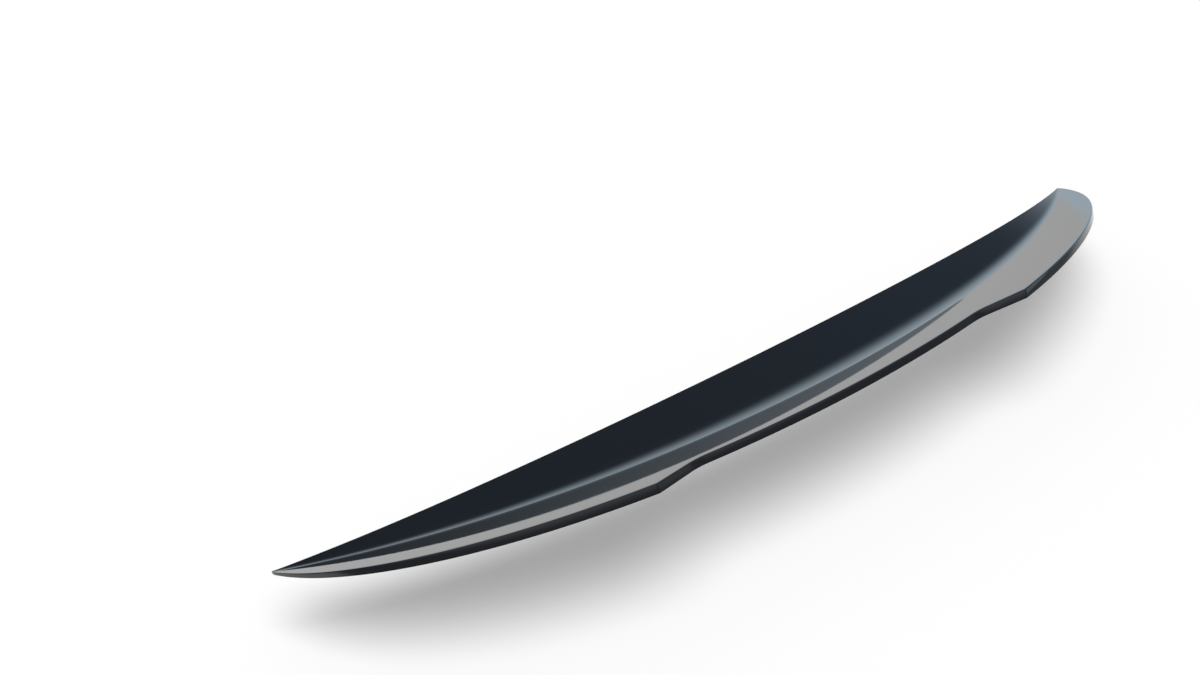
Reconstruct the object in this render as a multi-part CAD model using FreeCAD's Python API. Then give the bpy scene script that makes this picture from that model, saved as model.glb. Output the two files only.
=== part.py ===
"""Spoiler extension for a boot lid: a thin moulded lip with a strip of foam tape under it.

Millimetres, in the car's own directions: +X to the right, +Y towards the front of the car, +Z up.
Every section across the width is a shallow gutter: a base that falls gently to the rear, a rounded
valley, and a lip that climbs to the trailing edge. The section follows the leading edge, which bows
forward and down towards both tips, and the plan outline is then cut through it square to the lip.
The origin is the middle of the tape's bonding face.
"""
import FreeCAD
import Part
import math
import os

Vector = FreeCAD.Vector

# Leading edge
HALF_WIDTH = 520.0          # centre to tip
TIP_FORWARD = 64.1          # how far the tips lie in front of the centre
TIP_DROP = 40.6             # how far the tips hang below the centre
LATE_SWEEP = 0.324          # share of both that comes close to the tips

# Top of the section
BASE_DEPTH = 60.6           # leading edge to valley, on the centre line
BASE_FULLNESS = 0.18        # keeps the base deep for longer towards the tips
BASE_FALL = 4.3             # degrees, down towards the rear
LIP_RISE = 28.7             # degrees, up towards the rear
VALLEY_RADIUS = 50.0        # on the centre line
TIP_VALLEY_RADIUS = 9.0

# Underside of the section
LEAD_WALL = 2.2             # thickness at the leading edge
BASE_WEDGE = 2.3            # degrees, by which the base thickens towards the valley
LIP_WEDGE = 3.6             # degrees, by which the lip thickens towards the trailing edge
UNDER_RADIUS = 5.0          # in the valley, under the tape's front edge

# Trailing edge in plan, measured back from the centre of the leading edge
CENTRE_REACH = 111.1
CENTRE_BOW = 11.7           # how far the centre stretch curves forward at its ends
NOTCH_HALF = 182.6          # half the width of the set-back centre stretch
KINK_HALF = 237.3           # half the distance between the two outer corners
KINK_REACH = 111.2
WING_PULL = (383.8, 82.9)   # Bezier handles of the wing's edge: distance out, distance back
TIP_PULL = (499.6, 28.6)
NOTCH_ROUND = 60.0          # in the hollow corner of the notch
KINK_ROUND = 1.5
TIP_ROUND = 2.5
RIM_ROUND = 1.0             # softened top edge, all round the trailing edge

# Tape and the film on it
TAPE_WIDTH = 20.0
TAPE_THICK = 1.1
TAPE_SETBACK = 1.6          # from the valley's corner to the tape's front edge
TAPE_END = 0.955            # share of the half width that the tape reaches
TAPE_NARROWING = 10         # power by which the tape narrows with the wing
LINER_THICK = 0.25

# How far the section runs past the outline before it is cut
FRONT_SPARE = 12.0
REAR_SPARE = 28.0
SPAN_SPARE = 1.03
STATIONS = 8                # sections between the centre and each tip


def towards_rear(angle):
    """Unit vector that runs to the rear and climbs by an angle in degrees."""
    return Vector(0, -math.cos(math.radians(angle)), math.sin(math.radians(angle)))


def square_to(way):
    """The upward normal of a way to the rear."""
    return Vector(0, way.z, -way.y)


BASE_WAY = towards_rear(-BASE_FALL)
BASE_UNDER_WAY = towards_rear(-BASE_FALL - BASE_WEDGE)
LIP_WAY = towards_rear(LIP_RISE)
LIP_UNDER_WAY = towards_rear(LIP_RISE - LIP_WEDGE)
LIP_NORMAL = square_to(LIP_WAY)
LIP_LENGTH = (BASE_DEPTH + REAR_SPARE) / math.cos(math.radians(LIP_RISE))


def lead_point(u):
    """Leading edge at u, the share of the half width."""
    share = (1 - LATE_SWEEP) * u ** 2 + LATE_SWEEP * u ** 6
    return Vector(u * HALF_WIDTH, TIP_FORWARD * share, -TIP_DROP * share)


def valley_point(u):
    depth = BASE_DEPTH * (1 - u ** 2) * (1 + BASE_FULLNESS * u ** 2)
    return lead_point(u) + BASE_WAY * (depth / math.cos(math.radians(BASE_FALL)))


def under_lead_point(u):
    return lead_point(u) - square_to(BASE_WAY) * LEAD_WALL


def under_valley_point(u):
    """Where the underside of the base meets the line that halves the valley."""
    halving = square_to(BASE_WAY) + LIP_NORMAL
    start = under_lead_point(u)
    gap = valley_point(u) - start
    turn = BASE_UNDER_WAY.y * halving.z - BASE_UNDER_WAY.z * halving.y
    return start + BASE_UNDER_WAY * ((gap.y * halving.z - gap.z * halving.y) / turn)


def rounded(start, corner, end, radius):
    """Line, tangent arc and line through three points of a section."""
    back = (start - corner).normalize()
    ahead = (end - corner).normalize()
    half_turn = (math.pi - back.getAngle(ahead)) / 2
    first = corner + back * (radius * math.tan(half_turn))
    last = corner + ahead * (radius * math.tan(half_turn))
    middle = corner + (back + ahead).normalize() * (radius * (1 / math.cos(half_turn) - 1))
    return [Part.LineSegment(start, first), Part.Arc(first, middle, last), Part.LineSegment(last, end)]


def section_wire(u):
    valley = valley_point(u)
    under_valley = under_valley_point(u)
    front = lead_point(u) - BASE_WAY * FRONT_SPARE
    rear = valley + LIP_WAY * LIP_LENGTH
    under_front = under_lead_point(u) - BASE_UNDER_WAY * FRONT_SPARE
    under_rear = under_valley + LIP_UNDER_WAY * LIP_LENGTH
    radius = TIP_VALLEY_RADIUS + (VALLEY_RADIUS - TIP_VALLEY_RADIUS) * (1 - u ** 2)
    curves = rounded(front, valley, rear, radius)
    curves.append(Part.LineSegment(rear, under_rear))
    curves += rounded(under_rear, under_valley, under_front, UNDER_RADIUS)
    curves.append(Part.LineSegment(under_front, front))
    return Part.Wire([curve.toShape() for curve in curves])


def stations(end):
    """Shares of the half width from tip to tip, closer together towards the tips."""
    half = [end * math.sin(math.pi / 2 * k / STATIONS) for k in range(1, STATIONS + 1)]
    return [-u for u in reversed(half)] + [0.0] + half


def lofted(section, end):
    return Part.makeLoft([section(u) for u in stations(end)], True, False)


def on_lip(x, y):
    """The point of the lip's top face, or of its run-on, over a point of the plan."""
    valley = valley_point(x / HALF_WIDTH)
    return Vector(x, y, valley.z + (valley.y - y) * math.tan(math.radians(LIP_RISE)))


def wing_point(t):
    """The wing's trailing edge, in plan a Bezier curve from the outer corner to the tip."""
    tip = lead_point(1.0)
    weights = [(1 - t) ** 3, 3 * t * (1 - t) ** 2, 3 * t ** 2 * (1 - t), t ** 3]
    across = [KINK_HALF, WING_PULL[0], TIP_PULL[0], tip.x]
    along = [-KINK_REACH, -WING_PULL[1], -TIP_PULL[1], tip.y]
    x = sum(weight * value for weight, value in zip(weights, across))
    y = sum(weight * value for weight, value in zip(weights, along))
    return on_lip(x, y)


def centre_point(share):
    """The centre stretch of the trailing edge, from one end of the notch to the other."""
    return on_lip(share * NOTCH_HALF, -CENTRE_REACH + CENTRE_BOW * share ** 2)


SKETCH_LEVEL = -4 * TIP_DROP    # the outline is drawn on this level and cut upwards from it


def on_sketch(point):
    """Carries a point of the edge down to the outline's level, square to the lip."""
    return point - LIP_NORMAL * ((point.z - SKETCH_LEVEL) / LIP_NORMAL.z)


def curve_through(points):
    curve = Part.BSplineCurve()
    curve.interpolate([on_sketch(point) for point in points])
    return curve.toShape()


def mirrored(point):
    return Vector(-point.x, point.y, point.z)


def outline_block():
    """A tall block with the plan outline, its walls square to the lip."""
    steps = 24
    lead = [lead_point(u) for u in stations(1.0)]
    wing = [wing_point(k / steps) for k in range(steps + 1)]
    left_wing = [mirrored(point) for point in wing]
    centre = [centre_point(2 * k / steps - 1) for k in range(steps + 1)]
    ramp = Part.LineSegment(on_sketch(centre[-1]), on_sketch(wing[0])).toShape()
    left_ramp = Part.LineSegment(on_sketch(centre[0]), on_sketch(left_wing[0])).toShape()
    edges = [curve_through(lead), curve_through(wing), ramp, curve_through(centre), left_ramp,
             curve_through(left_wing)]
    face = Part.Face(Part.Wire(Part.__sortEdges__(edges)))
    block = face.extrude(LIP_NORMAL * (6 * TIP_DROP / LIP_NORMAL.z))
    for corner, radius in ((wing[-1], TIP_ROUND), (wing[0], KINK_ROUND), (centre[-1], NOTCH_ROUND)):
        feet = [on_sketch(corner), on_sketch(mirrored(corner))]
        uprights = [edge for edge in block.Edges if edge.BoundBox.ZLength > TIP_DROP
                    and min((edge.Vertexes[0].Point - foot).Length for foot in feet) < 0.01]
        block = block.makeFillet(radius, uprights)
    return block


def is_rim(edge):
    """True for an edge between the lip's top face and the trailing edge's end face."""
    middle = edge.valueAt((edge.FirstParameter + edge.LastParameter) / 2)
    above = on_lip(middle.x, middle.y)
    behind = valley_point(middle.x / HALF_WIDTH).y - middle.y
    return abs(middle.z - above.z) < RIM_ROUND / 2 and behind > VALLEY_RADIUS / 2


def spoiler_shell():
    cut = lofted(section_wire, SPAN_SPARE).common(outline_block()).Solids[0]
    return cut.makeFillet(RIM_ROUND, [edge for edge in cut.Edges if is_rim(edge)]).Solids[0]


def strip(near, far):
    """A strip that follows the underside of the lip, between two distances below it."""
    down = square_to(LIP_UNDER_WAY) * -1

    def section(u):
        front = under_valley_point(u) + LIP_UNDER_WAY * TAPE_SETBACK
        rear = front + LIP_UNDER_WAY * (TAPE_WIDTH * (1 - abs(u) ** TAPE_NARROWING))
        corners = [front + down * near, rear + down * near, rear + down * far, front + down * far]
        return Part.makePolygon(corners + corners[:1])

    return lofted(section, TAPE_END)


BONDING_CENTRE = (under_valley_point(0.0) + LIP_UNDER_WAY * (TAPE_SETBACK + TAPE_WIDTH / 2)
                  - square_to(LIP_UNDER_WAY) * TAPE_THICK)

shell = spoiler_shell()
tape = strip(-1.0, TAPE_THICK).cut(shell).Solids[0]
liner = strip(TAPE_THICK, TAPE_THICK + LINER_THICK)

os.makedirs("parts", exist_ok=True)
for name, shape in (("spoiler_shell", shell), ("mounting_tape", tape), ("release_liner", liner)):
    shape.translate(BONDING_CENTRE * -1)
    shape.exportStep("parts/" + name + ".step")
    print(name, shape.isValid(), round(shape.Volume, 1), shape.ShapeType, len(shape.Faces))
print("bonding centre from the leading edge", BONDING_CENTRE)
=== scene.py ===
"""The spoiler extension on a white studio floor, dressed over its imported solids.

Metres, in the solids' own frame: +X to the car's right, +Y towards its front, +Z up.
"""
import math

import bpy
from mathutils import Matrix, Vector


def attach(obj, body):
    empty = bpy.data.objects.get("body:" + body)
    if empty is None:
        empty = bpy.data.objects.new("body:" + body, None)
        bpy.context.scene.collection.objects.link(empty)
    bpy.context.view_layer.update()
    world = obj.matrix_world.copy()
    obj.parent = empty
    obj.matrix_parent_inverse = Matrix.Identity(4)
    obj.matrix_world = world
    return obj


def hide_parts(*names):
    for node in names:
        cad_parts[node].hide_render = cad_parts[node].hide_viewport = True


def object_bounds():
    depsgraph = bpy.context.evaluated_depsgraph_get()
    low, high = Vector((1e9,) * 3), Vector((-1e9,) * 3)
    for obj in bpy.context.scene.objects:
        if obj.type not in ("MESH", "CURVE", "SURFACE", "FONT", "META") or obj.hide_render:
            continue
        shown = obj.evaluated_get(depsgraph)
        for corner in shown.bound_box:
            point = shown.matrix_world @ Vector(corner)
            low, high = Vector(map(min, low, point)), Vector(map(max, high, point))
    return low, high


# The moulding's driving sizes, as in the solids; angles in radians
HALF_WIDTH = 0.520          # centre to tip
TIP_FORWARD = 0.0641
TIP_DROP = 0.0406
LATE_SWEEP = 0.324          # share of both that comes close to the tips
BASE_DEPTH = 0.0606         # leading edge to valley, on the centre line
BASE_FULLNESS = 0.18
BASE_FALL = math.radians(4.3)
LIP_RISE = math.radians(28.7)
VALLEY_RADIUS = 0.050
TIP_VALLEY_RADIUS = 0.009
LEAD_WALL = 0.0022
BASE_WEDGE = math.radians(2.3)
LIP_WEDGE = math.radians(3.6)
UNDER_RADIUS = 0.005
CENTRE_REACH = 0.1111
CENTRE_BOW = 0.0117
NOTCH_HALF = 0.1826
NOTCH_BLEND = 0.0114        # length of the hollow corner's curve, each way
KINK_HALF = 0.2373
KINK_REACH = 0.1112
WING_PULL = (0.3838, -0.0829)
TIP_PULL = (0.4996, -0.0286)
WING_END = 0.985            # where the wing's edge meets the blunted tip
RIM_ROUND = 0.001
ORIGIN = Vector((0, -0.072606, -0.005420))      # the frame's origin, from the centre of the leading edge

# Quads of the moulding's skin
CENTRE_STEPS = 28           # along the trailing edge: set-back stretch, hollow corner, ramp, wing
NOTCH_STEPS = 8
RAMP_STEPS = 8
WING_STEPS = 64
BEFORE_KINK = 0.98          # ribs close to the kink, as shares of the ramp and of the wing
AFTER_KINK = 0.004
TOP_STEPS = (12, 14, 18)    # base, valley, lip
TOP_COUNT = sum(TOP_STEPS)
ROUND_STEPS = 4
UNDER_STEPS = (16, 4, 12)   # lip, valley, base

# Camera, solved from the outlines of the part: where it stands and how it is turned
CAMERA_PLACE = Vector((-0.9082, -0.8939, 0.9336))     # from the centre of the leading edge
CAMERA_TURN = -37.91        # degrees round +Z, from looking towards +Y
CAMERA_TILT = 36.12         # degrees down from level
IMAGE_WIDTH = 1200
FOCAL_PIXELS = 1608.7
SENSOR_WIDTH = 36.0

# Studio
FLOOR_HALF = 30.0
FLOOR_WHITE = (0.8, 0.8, 0.8)
FLOOR_LIFT = 0.22           # glow that brings the lit floor up to white for the eye
GLOSS_WHITE = 1.15          # painted reflection: how bright the floor glows in the gloss in front of the part
GLOSS_DIM = 0.25            # painted reflection: how bright it glows in the gloss behind the part
GLOSS_REACH = (-0.3, 0.1)   # where the one gives way to the other
FLOOR_GAP = 0.055           # the part is held this far clear of the floor
TWICE_MIRRORED = 0.58       # how far the sky fades where the part shows in itself
LAMP_STRENGTH = 2.1
LAMP_ANGLE = 52.0           # degrees across, for a soft shadow
LAMP_LEAN = (9.0, -8.0, 0.0)
WHITE = (1.0, 1.0, 1.0)     # the sky as the camera sees it
FILL = (0.33, 0.33, 0.33)   # the sky as it lights what is matt

# The sky as it shows in the gloss. Limits are heights on a unit globe, unless they say otherwise.
OVERHEAD = (0.14, 0.19, 0.26)
HORIZON = (1.03, 1.25, 1.42)
ZENITH = (0.85, 0.90, 0.95)
BEHIND = (0.80, 0.86, 0.92)
REAR = (0.20, 0.21, 0.23)
SKYLINE = (0.2, 0.62)       # horizon to overhead
SKYLINE_DIP = 0.16          # the skyline sinks by this far to the right
DIP_REACH = (0.58, 0.8)     # and between these places across
ZENITH_REACH = (0.86, 0.98)
BEHIND_FOOT = (0.2, 0.42)
BEHIND_HEAD = (0.5, 0.8)
BEHIND_REACH = (0.2, 0.6)   # how far to the rear
FRONT_REACH = (-0.2, 0.5)   # rear to front along the horizon
FRONT_SKEW = 0.6            # the front leans this much to the right

# Finishes
PLASTIC_BLACK = (0.0045, 0.0052, 0.0065)
FILM_RED = (0.80, 0.050, 0.085)
FILM_RED_DEEP = (0.70, 0.036, 0.065)
FOAM_GREY = (0.055, 0.056, 0.060)
FOAM_GREY_PALE = (0.10, 0.10, 0.105)


class Value:
    """A number on a shader socket. Python's operators add Math nodes to it."""

    def __init__(self, finish, socket):
        self.finish = finish
        self.socket = socket

    def join(self, operation, first, second):
        node = self.finish.node("ShaderNodeMath", {"operation": operation}, {0: first, 1: second})
        return Value(self.finish, node.outputs[0])

    def __add__(self, other):
        return self.join("ADD", self, other)

    def __radd__(self, other):
        return self.join("ADD", other, self)

    def __sub__(self, other):
        return self.join("SUBTRACT", self, other)

    def __rsub__(self, other):
        return self.join("SUBTRACT", other, self)

    def __mul__(self, other):
        return self.join("MULTIPLY", self, other)

    def __rmul__(self, other):
        return self.join("MULTIPLY", other, self)


class Finish:
    """A node tree that is filled from Python: a material's, or the world's."""

    def __init__(self, owner):
        owner.use_nodes = True
        self.tree = owner.node_tree
        self.tree.nodes.clear()

    def node(self, kind, settings=None, sockets=None):
        """Adds a node, sets it up, then gives its sockets numbers, colours or links."""
        node = self.tree.nodes.new(kind)
        for name, setting in (settings or {}).items():
            setattr(node, name, setting)
        for key, value in (sockets or {}).items():
            socket = node.inputs[key]
            if isinstance(value, Value):
                self.tree.links.new(value.socket, socket)
            elif isinstance(value, bpy.types.NodeSocket):
                self.tree.links.new(value, socket)
            elif isinstance(value, tuple) and len(value) == 3 and socket.type == "RGBA":
                socket.default_value = (*value, 1.0)
            else:
                socket.default_value = value
        return node

    def value(self, node, output=0):
        return Value(self, node.outputs[output])

    def eased(self, value, low, high):
        """Runs smoothly from 0 at low to 1 at high."""
        settings = {"interpolation_type": "SMOOTHSTEP"}
        sockets = {"Value": value, "From Min": low, "From Max": high}
        return self.value(self.node("ShaderNodeMapRange", settings, sockets))

    def blend(self, share, first, second):
        """A colour between two others."""
        node = self.node("ShaderNodeMix", {"data_type": "RGBA"}, {"Factor": share})
        for socket, colour in ((node.inputs[6], first), (node.inputs[7], second)):
            if isinstance(colour, tuple):
                socket.default_value = (*colour, 1.0)
            else:
                self.tree.links.new(colour, socket)
        return node.outputs[2]

    def noise(self, place, scale, detail=2.0):
        node = self.node("ShaderNodeTexNoise", None, {"Vector": place, "Scale": scale, "Detail": detail})
        return self.value(node)

    def object_place(self):
        return self.node("ShaderNodeTexCoord").outputs["Object"]

    def bump(self, height, strength, distance):
        sockets = {"Height": height, "Strength": strength, "Distance": distance}
        return self.node("ShaderNodeBump", None, sockets).outputs["Normal"]

    def surface(self, shader):
        output = self.node("ShaderNodeOutputMaterial")
        self.tree.links.new(shader, output.inputs["Surface"])


def gloss_black_plastic():
    """Polished black moulding: deep gloss with a trace of orange peel and of handling haze."""
    material = bpy.data.materials.new("gloss_black_plastic")
    finish = Finish(material)
    place = finish.object_place()
    haze = finish.eased(finish.noise(place, 9.0, 3.0), 0.35, 0.75)
    peel = finish.noise(place, 420.0, 1.0)
    shader = finish.node("ShaderNodeBsdfPrincipled", None, {
        "Base Color": PLASTIC_BLACK,
        "Roughness": 0.03 + 0.03 * haze,
        "IOR": 1.5,
        "Coat Weight": 0.35,
        "Coat Roughness": 0.02,
        "Normal": finish.bump(peel, 0.02, 0.0002),
    })
    finish.surface(shader.outputs[0])
    return material


def red_release_film():
    """Thin red film: slightly mottled where the glue wets it, with a soft sheen."""
    material = bpy.data.materials.new("red_release_film")
    finish = Finish(material)
    place = finish.object_place()
    mottle = finish.noise(place, 160.0, 4.0)
    waves = finish.noise(place, 45.0, 2.0)
    shader = finish.node("ShaderNodeBsdfPrincipled", None, {
        "Base Color": finish.blend(finish.eased(mottle, 0.3, 0.7), FILM_RED_DEEP, FILM_RED),
        "Roughness": 0.34 + 0.12 * mottle,
        "IOR": 1.48,
        "Normal": finish.bump(waves, 0.15, 0.0004),
    })
    finish.surface(shader.outputs[0])
    return material


def grey_foam():
    """Closed-cell foam as it shows at the tape's cut edges."""
    material = bpy.data.materials.new("grey_foam")
    finish = Finish(material)
    place = finish.object_place()
    cells = finish.noise(place, 1500.0, 3.0)
    shader = finish.node("ShaderNodeBsdfPrincipled", None, {
        "Base Color": finish.blend(finish.eased(cells, 0.35, 0.65), FOAM_GREY, FOAM_GREY_PALE),
        "Roughness": 0.85,
        "Normal": finish.bump(cells, 0.4, 0.0002),
    })
    finish.surface(shader.outputs[0])
    return material


def white_floor():
    """Matt white that reads as pure white where no shadow falls, with a painted reflection glow that
    only the gloss sees, and clear when seen from below.
    """
    material = bpy.data.materials.new("white_floor")
    finish = Finish(material)
    lit = finish.node("ShaderNodeBsdfDiffuse", None, {"Color": FLOOR_WHITE})
    path = finish.node("ShaderNodeLightPath")
    seen = finish.value(path, "Is Camera Ray")
    mirrored = finish.value(path, "Is Glossy Ray") + finish.value(path, "Is Transmission Ray")
    spot = finish.node("ShaderNodeSeparateXYZ", None, {"Vector": finish.object_place()})
    ahead = finish.eased(finish.value(spot, "Y"), *GLOSS_REACH)
    glow = finish.node("ShaderNodeEmission", None, {"Strength": FLOOR_LIFT * seen})
    both = finish.node("ShaderNodeAddShader", None, {0: lit.outputs[0], 1: glow.outputs[0]})
    # Painted reflection: the floor glows only for glossy rays, bright in front of the part and dim
    # behind it
    strength = GLOSS_DIM + (GLOSS_WHITE - GLOSS_DIM) * ahead
    painted_reflection_glow = finish.node("ShaderNodeEmission", None, {"Strength": strength})
    sockets = {0: mirrored, 1: both.outputs[0], 2: painted_reflection_glow.outputs[0]}
    above = finish.node("ShaderNodeMixShader", None, sockets)
    below = finish.node("ShaderNodeNewGeometry").outputs["Backfacing"]
    clear = finish.node("ShaderNodeBsdfTransparent").outputs[0]
    shown = finish.node("ShaderNodeMixShader", None, {0: below, 1: above.outputs[0], 2: clear})
    finish.surface(shown.outputs[0])
    return material


def dress(node, material):
    """Gives a node of the frame its finish."""
    node.data.materials.clear()
    node.data.materials.append(material)


def section(x):
    """The corners of the section at x, in front of and behind the valley, on the top and underside."""
    u = x / HALF_WIDTH
    share = (1 - LATE_SWEEP) * u ** 2 + LATE_SWEEP * u ** 6
    lead = Vector((x, TIP_FORWARD * share, -TIP_DROP * share))
    depth = BASE_DEPTH * (1 - u ** 2) * (1 + BASE_FULLNESS * u ** 2)
    valley = lead + Vector((0, -depth, -depth * math.tan(BASE_FALL)))
    under_lead = lead - LEAD_WALL * Vector((0, -math.sin(BASE_FALL), math.cos(BASE_FALL)))
    halving = (LIP_RISE - BASE_FALL) / 2
    wall = LEAD_WALL + depth * math.tan(BASE_WEDGE)
    under_valley = valley - wall / math.cos((LIP_RISE + BASE_FALL) / 2) * upward(halving)
    radius = TIP_VALLEY_RADIUS + (VALLEY_RADIUS - TIP_VALLEY_RADIUS) * (1 - u ** 2)
    return lead, valley, under_lead, under_valley, radius


def upward(angle):
    """Unit vector that points up and leans forward by an angle."""
    return Vector((0, math.sin(angle), math.cos(angle)))


def gutter(y, corner, fall, rise, radius):
    """Height over y of a base that falls to a rounded corner and a lip that climbs from it."""
    reach = radius * math.tan((fall + rise) / 2)
    front = corner.y + reach * math.cos(fall)
    back = corner.y - reach * math.cos(rise)
    if y >= front:
        return corner.z + (y - corner.y) * math.tan(fall)
    if y <= back:
        return corner.z + (corner.y - y) * math.tan(rise)
    middle = front - radius * math.sin(fall)
    level = corner.z + reach * math.sin(fall) + radius * math.cos(fall)
    return level - math.sqrt(radius ** 2 - (y - middle) ** 2)


def breaks(lead_y, rim_y, corner, fall, rise, radius):
    """Where the section changes from base to curve to lip, kept between its two edges."""
    reach = radius * math.tan((fall + rise) / 2)
    front = min(lead_y, corner.y + reach * math.cos(fall))
    back = max(rim_y, corner.y - reach * math.cos(rise))
    return [lead_y, max(front, rim_y), min(back, lead_y), rim_y]


def spread(ends, counts):
    """Values that run through the ends, with a count of steps between each two."""
    values = [ends[0]]
    for first, last, count in zip(ends, ends[1:], counts):
        values += [first + (last - first) * k / count for k in range(1, count + 1)]
    return values


def rim_plan():
    """The right half of the trailing edge in plan, from the centre to the tip."""
    points = [Vector((x, -CENTRE_REACH + CENTRE_BOW * (x / NOTCH_HALF) ** 2))
              for x in spread([0, NOTCH_HALF - NOTCH_BLEND], [CENTRE_STEPS])]
    corner = Vector((NOTCH_HALF, -CENTRE_REACH + CENTRE_BOW))
    kink = Vector((KINK_HALF, -KINK_REACH))
    ramp_start = corner + (kink - corner).normalized() * NOTCH_BLEND
    notch_start = points[-1]
    for t in spread([0, 1], [NOTCH_STEPS])[1:]:
        points.append(notch_start * (1 - t) ** 2 + corner * 2 * t * (1 - t) + ramp_start * t ** 2)
    points += [ramp_start.lerp(kink, t) for t in spread([0, BEFORE_KINK, 1], [RAMP_STEPS, 1])[1:]]
    tip = Vector((HALF_WIDTH, TIP_FORWARD))
    for t in spread([0, AFTER_KINK, WING_END], [1, WING_STEPS])[1:]:
        points.append(kink * (1 - t) ** 3 + Vector(WING_PULL) * 3 * t * (1 - t) ** 2
                      + Vector(TIP_PULL) * 3 * t ** 2 * (1 - t) + tip * t ** 3)
    return points


def rib(place, outward):
    """One closed loop of the skin: over the top, round the rim and back underneath."""
    x, rim_y = place
    lead, valley, under_lead, under_valley, radius = section(x)
    square = upward(LIP_RISE)
    inner = place - outward * min(RIM_ROUND, (lead.y - rim_y) / 3)
    loop = []
    for y in spread(breaks(lead.y, inner.y, valley, BASE_FALL, LIP_RISE, radius), TOP_STEPS):
        loop.append(Vector((x, y, gutter(y, valley, BASE_FALL, LIP_RISE, radius))))
    inner_valley = section(inner.x)[1]
    inner_height = inner_valley.z + (inner_valley.y - inner.y) * math.tan(LIP_RISE)
    loop[-1] = Vector((inner.x, inner.y, inner_height))
    corner = Vector((x, rim_y, valley.z + (valley.y - rim_y) * math.tan(LIP_RISE)))
    below = corner - square * RIM_ROUND
    for t in spread([0, 1], [ROUND_STEPS])[1:]:
        loop.append(loop[TOP_COUNT] * (1 - t) ** 2 + corner * 2 * t * (1 - t) + below * t ** 2)
    rise = LIP_RISE - LIP_WEDGE
    drop = corner.z - under_valley.z - (under_valley.y - corner.y) * math.tan(rise)
    foot = corner - square * (drop / (square.z + square.y * math.tan(rise)))
    fall = BASE_FALL + BASE_WEDGE
    drop = lead.z - under_lead.z + (under_lead.y - lead.y) * math.tan(fall)
    under_edge = lead - square * (drop / (square.z - square.y * math.tan(fall)))
    ends = breaks(under_edge.y, foot.y, under_valley, fall, rise, UNDER_RADIUS)
    for y in spread(ends[::-1], UNDER_STEPS):
        loop.append(Vector((x, y, gutter(y, under_valley, fall, rise, UNDER_RADIUS))))
    loop.append(loop[0])
    return loop


def plan_normals(points):
    """The way out of the trailing edge at each point of it, in plan."""
    normals = []
    for k in range(len(points)):
        along = points[min(k + 1, len(points) - 1)] - points[max(k - 1, 0)]
        normals.append(Vector((along.y, -along.x)).normalized())
    normals[0] = Vector((0, -1))
    return normals


def gloss_lip():
    """The moulding's skin: a sheet of quads wrapped round the ribs, then closed at both tips."""
    half = rim_plan()
    ribs = [rib(place, outward) for place, outward in zip(half, plan_normals(half))]
    mirror = Vector((-1, 1, 1))
    ribs = [[point * mirror for point in loop] for loop in ribs[:0:-1]] + ribs
    across = len(ribs) - 1
    around = len(ribs[0]) - 1
    bpy.ops.object.select_all(action="DESELECT")
    bpy.ops.mesh.primitive_grid_add(x_subdivisions=across, y_subdivisions=around, size=1)
    skin = bpy.context.object
    skin.name = "gloss_lip"
    for vertex in skin.data.vertices:
        column = round((vertex.co.x + 0.5) * across)
        row = round((vertex.co.y + 0.5) * around)
        vertex.co = ribs[column][row] - ORIGIN
    bpy.ops.object.mode_set(mode="EDIT")
    bpy.ops.mesh.select_all(action="SELECT")
    bpy.ops.mesh.remove_doubles(threshold=1e-6)
    bpy.ops.mesh.fill_holes(sides=0)
    bpy.ops.mesh.select_all(action="SELECT")
    bpy.ops.mesh.normals_make_consistent(inside=False)
    bpy.ops.object.mode_set(mode="OBJECT")
    bpy.ops.object.shade_smooth_by_angle(angle=math.radians(30))
    return skin


def add_floor(height):
    bpy.ops.object.select_all(action="DESELECT")
    bpy.ops.mesh.primitive_plane_add(size=2 * FLOOR_HALF, location=(0, 0, height))
    floor = bpy.context.object
    floor.name = "studio_floor"
    dress(floor, white_floor())


def add_lamp():
    lean = [math.radians(angle) for angle in LAMP_LEAN]
    bpy.ops.object.light_add(type="SUN", rotation=lean)
    bpy.context.object.visible_glossy = False
    lamp = bpy.context.object.data
    lamp.energy = LAMP_STRENGTH
    lamp.angle = math.radians(LAMP_ANGLE)


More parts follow.
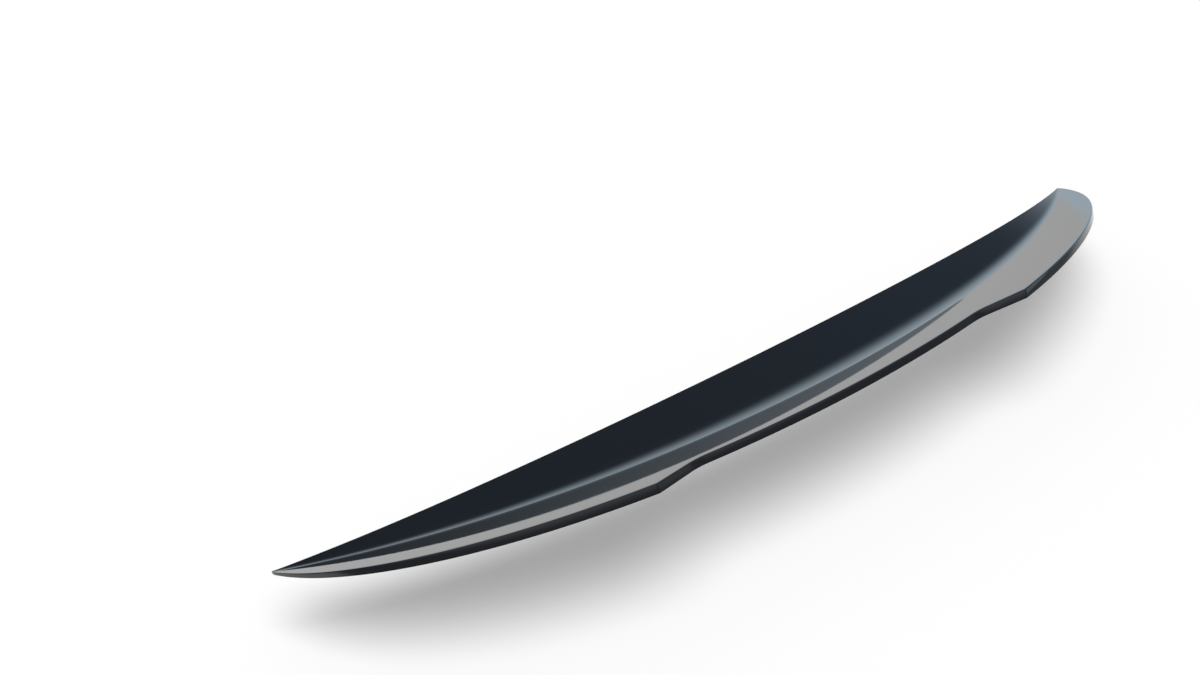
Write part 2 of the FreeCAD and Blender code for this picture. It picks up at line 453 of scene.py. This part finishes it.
def light_world():
    """Dark overhead, bright low down in front of the part, dim behind it; white to the camera."""
    world = bpy.data.worlds.new("studio")
    bpy.context.scene.world = world
    finish = Finish(world)
    way = finish.node("ShaderNodeTexCoord").outputs["Generated"]
    parts = finish.node("ShaderNodeSeparateXYZ", None, {"Vector": way})
    height = finish.value(parts, "Z")
    ahead = finish.value(parts, "Y")
    across = finish.value(parts, "X")
    low = finish.blend(finish.eased(ahead + FRONT_SKEW * across, *FRONT_REACH), REAR, HORIZON)
    high = finish.blend(finish.eased(height, *ZENITH_REACH), OVERHEAD, ZENITH)
    band = finish.eased(height, *BEHIND_FOOT) * (1 - finish.eased(height, *BEHIND_HEAD))
    behind = band * finish.eased(-1 * ahead, *BEHIND_REACH)
    raised = height + SKYLINE_DIP * finish.eased(across, *DIP_REACH)
    plain = finish.blend(finish.eased(raised, *SKYLINE), low, high)
    sky = finish.blend(behind, plain, BEHIND)
    path = finish.node("ShaderNodeLightPath")
    twice = TWICE_MIRRORED * finish.eased(finish.value(path, "Glossy Depth"), 1.0, 2.0)
    faded = finish.blend(twice, sky, REAR)
    mirrored = finish.blend(finish.value(path, "Is Glossy Ray"), FILL, faded)
    seen = finish.blend(finish.value(path, "Is Camera Ray"), mirrored, WHITE)
    background = finish.node("ShaderNodeBackground", None, {"Color": seen})
    output = finish.node("ShaderNodeOutputWorld")
    finish.tree.links.new(background.outputs[0], output.inputs["Surface"])


def add_camera():
    turn = (math.radians(90 - CAMERA_TILT), 0, math.radians(CAMERA_TURN))
    bpy.ops.object.camera_add(location=CAMERA_PLACE - ORIGIN, rotation=turn)
    camera = bpy.context.object
    camera.data.sensor_fit = "HORIZONTAL"
    camera.data.sensor_width = SENSOR_WIDTH
    camera.data.lens = SENSOR_WIDTH * FOCAL_PIXELS / IMAGE_WIDTH
    bpy.context.scene.camera = camera


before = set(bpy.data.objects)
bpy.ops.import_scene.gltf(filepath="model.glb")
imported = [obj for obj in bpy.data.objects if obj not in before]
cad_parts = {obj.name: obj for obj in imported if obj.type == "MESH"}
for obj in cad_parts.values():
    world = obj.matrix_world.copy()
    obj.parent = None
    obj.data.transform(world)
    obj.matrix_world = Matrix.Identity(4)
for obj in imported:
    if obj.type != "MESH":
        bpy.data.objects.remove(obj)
solid_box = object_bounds()

lip = gloss_lip()
dress(lip, gloss_black_plastic())
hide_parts("spoiler_shell")
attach(lip, "root")
dress(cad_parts["mounting_tape"], grey_foam())
dress(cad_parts["release_liner"], red_release_film())
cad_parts["release_liner"].visible_diffuse = False     # no red cast on the floor

add_floor(solid_box[0][2] - FLOOR_GAP)
add_lamp()
light_world()
add_camera()
bpy.context.scene.view_settings.view_transform = "Standard"
